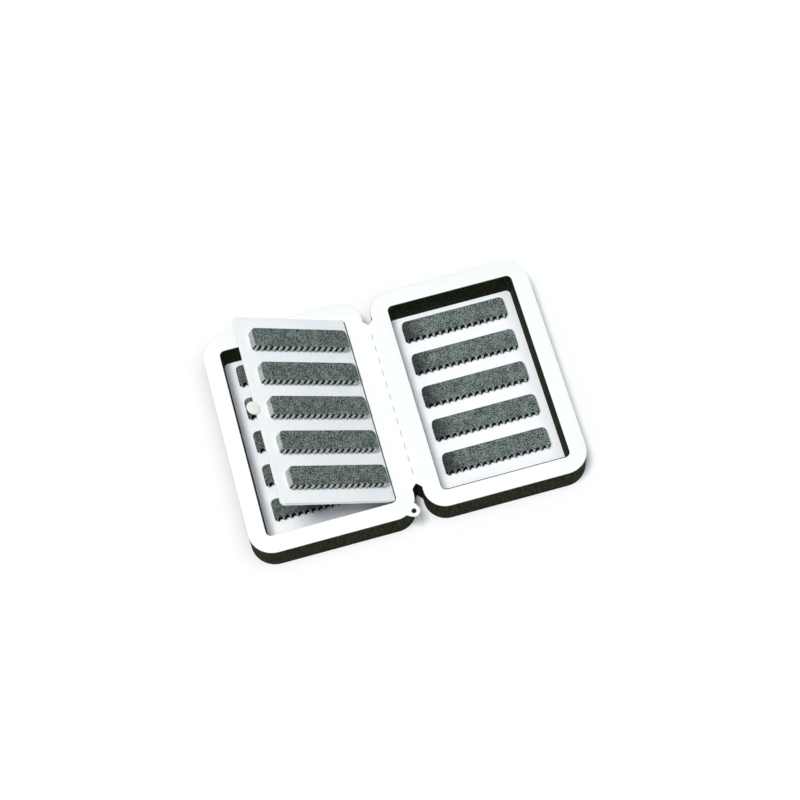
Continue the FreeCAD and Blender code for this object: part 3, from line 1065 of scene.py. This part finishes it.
class FLYBOX_OT_stage(bpy.types.Operator):
    """White floor, soft key from the left, softer fill from above, and the camera."""
    bl_idname = "flybox.stage"
    bl_label = "Stage"

    def execute(self, context):
        settings = context.scene.flybox_stage
        self.add_floor(settings)
        self.add_world(context, settings)
        self.add_lamp(context, "key", settings.key_colour, settings.level * settings.key_share,
                      settings.key_height, settings.key_side, settings.key_softness)
        self.add_lamp(context, "fill", settings.fill_colour, settings.level * settings.fill_share,
                      settings.fill_height, settings.fill_side, settings.fill_softness)
        self.add_camera(context, settings)
        context.scene.view_settings.view_transform = "Standard"
        return {"FINISHED"}

    def add_floor(self, settings):
        """White paper floor, just under the box, so that the two never share a plane."""
        mesh = bpy.data.meshes.new("floor")
        mesh.from_pydata([(x * FLOOR_HALF, y * FLOOR_HALF, 0.0)
                          for x, y in ((-1, -1), (1, -1), (1, 1), (-1, 1))], [], [(0, 1, 2, 3)])
        floor = bpy.data.objects.new("floor", mesh)
        floor.location.z = -0.05 * MM
        bpy.context.collection.objects.link(floor)
        material, add = new_material("Paper floor")
        paper = add("BsdfDiffuse", {}, {"Color": settings.floor})
        add("OutputMaterial", {}, {"Surface": paper.outputs["BSDF"]})
        mesh.materials.append(material)

    def add_world(self, context, settings):
        """Even light from all round, and a white backdrop for the camera and for reflections."""
        world = bpy.data.worlds.new("studio")
        world.use_nodes = True
        world.node_tree.nodes.clear()
        add = partial(add_node, world.node_tree)
        path = add("LightPath", {}, {})
        camera = add("Math", {"operation": "MAXIMUM"}, {
            0: path.outputs["Is Camera Ray"], 1: path.outputs["Is Transmission Ray"]})
        seen = add("Math", {"operation": "MAXIMUM"}, {
            0: camera.outputs["Value"], 1: path.outputs["Is Glossy Ray"]})
        rest = settings.level * (1.0 - settings.key_share - settings.fill_share)
        room = add("Background", {}, {
            "Color": settings.fill_colour, "Strength": rest / brightness(settings.fill_colour)})
        backdrop = add("Background", {}, {
            "Color": linear("#ffffff"), "Strength": 1.0})
        surface = add("MixShader", {}, {
            0: seen.outputs["Value"], 1: room.outputs["Background"],
            2: backdrop.outputs["Background"]})
        add("OutputWorld", {}, {"Surface": surface.outputs["Shader"]})
        context.scene.world = world

    def add_lamp(self, context, name, colour, level, height, side, softness):
        """Soft lamp that lights a level surface to a level."""
        spread = (1.0 + math.cos(softness / 2)) / 2
        lamp = bpy.data.lights.new(name, "SUN")
        lamp.angle = softness
        lamp.color = colour[:3]
        lamp.energy = math.pi * level / (math.sin(height) * spread * brightness(colour))
        carrier = bpy.data.objects.new(name, lamp)
        aside = math.cos(height)
        towards = Vector((-aside * math.cos(side), -aside * math.sin(side), math.sin(height)))
        carrier.rotation_euler = towards.to_track_quat("Z", "Y").to_euler()
        carrier.location = towards
        context.collection.objects.link(carrier)

    def add_camera(self, context, settings):
        """Camera that stands and looks as it did for the picture."""
        data = bpy.data.cameras.new("camera")
        data.sensor_width = SENSOR_WIDTH
        data.lens = settings.lens
        camera = bpy.data.objects.new("camera", data)
        back = CAMERA_RIGHT.cross(CAMERA_UP).normalized()
        up = back.cross(CAMERA_RIGHT).normalized()
        turn = Matrix((CAMERA_RIGHT.normalized(), up, back)).transposed().to_4x4()
        camera.matrix_world = Matrix.Translation(CAMERA_PLACE) @ turn
        context.collection.objects.link(camera)
        context.scene.camera = camera


OPERATORS = (
    FLYBOX_OT_stage,
    FLYBOX_OT_trays,
    FLYBOX_OT_magnets,
    FLYBOX_OT_face_sheet,
    FLYBOX_OT_floor_sheets,
    FLYBOX_OT_strips,
    FLYBOX_OT_leaf,
    FLYBOX_OT_leaf_film,
    FLYBOX_OT_thumb_tab,
)


class FLYBOX_PT_sidebar(bpy.types.Panel):
    """Steps that build the box, in order."""
    bl_idname = "FLYBOX_PT_sidebar"
    bl_label = "Fly Box"
    bl_space_type = "VIEW_3D"
    bl_region_type = "UI"
    bl_category = "Fly Box"

    def draw(self, context):
        for operator in OPERATORS:
            self.layout.operator(operator.bl_idname)
        for name, group in GROUPS.items():
            column = self.layout.box().column()
            for setting in group.__annotations__:
                column.prop(getattr(context.scene, name), setting)


def register():
    for group in GROUPS.values():
        bpy.utils.register_class(group)
    for name, group in GROUPS.items():
        setattr(bpy.types.Scene, name, bpy.props.PointerProperty(type=group))
    for operator in OPERATORS:
        bpy.utils.register_class(operator)
    bpy.utils.register_class(FLYBOX_PT_sidebar)


def unregister():
    bpy.utils.unregister_class(FLYBOX_PT_sidebar)
    for operator in reversed(OPERATORS):
        bpy.utils.unregister_class(operator)
    for name in GROUPS:
        delattr(bpy.types.Scene, name)
    for group in reversed(list(GROUPS.values())):
        bpy.utils.unregister_class(group)


def main():
    register()
    bpy.ops.flybox.stage()
    bpy.ops.flybox.trays()
    bpy.ops.flybox.magnets()
    bpy.ops.flybox.face_sheet()
    bpy.ops.flybox.floor_sheets()
    bpy.ops.flybox.strips()
    bpy.ops.flybox.leaf()
    bpy.ops.flybox.leaf_film()
    bpy.ops.flybox.thumb_tab()


if __name__ == "__main__":
    main()
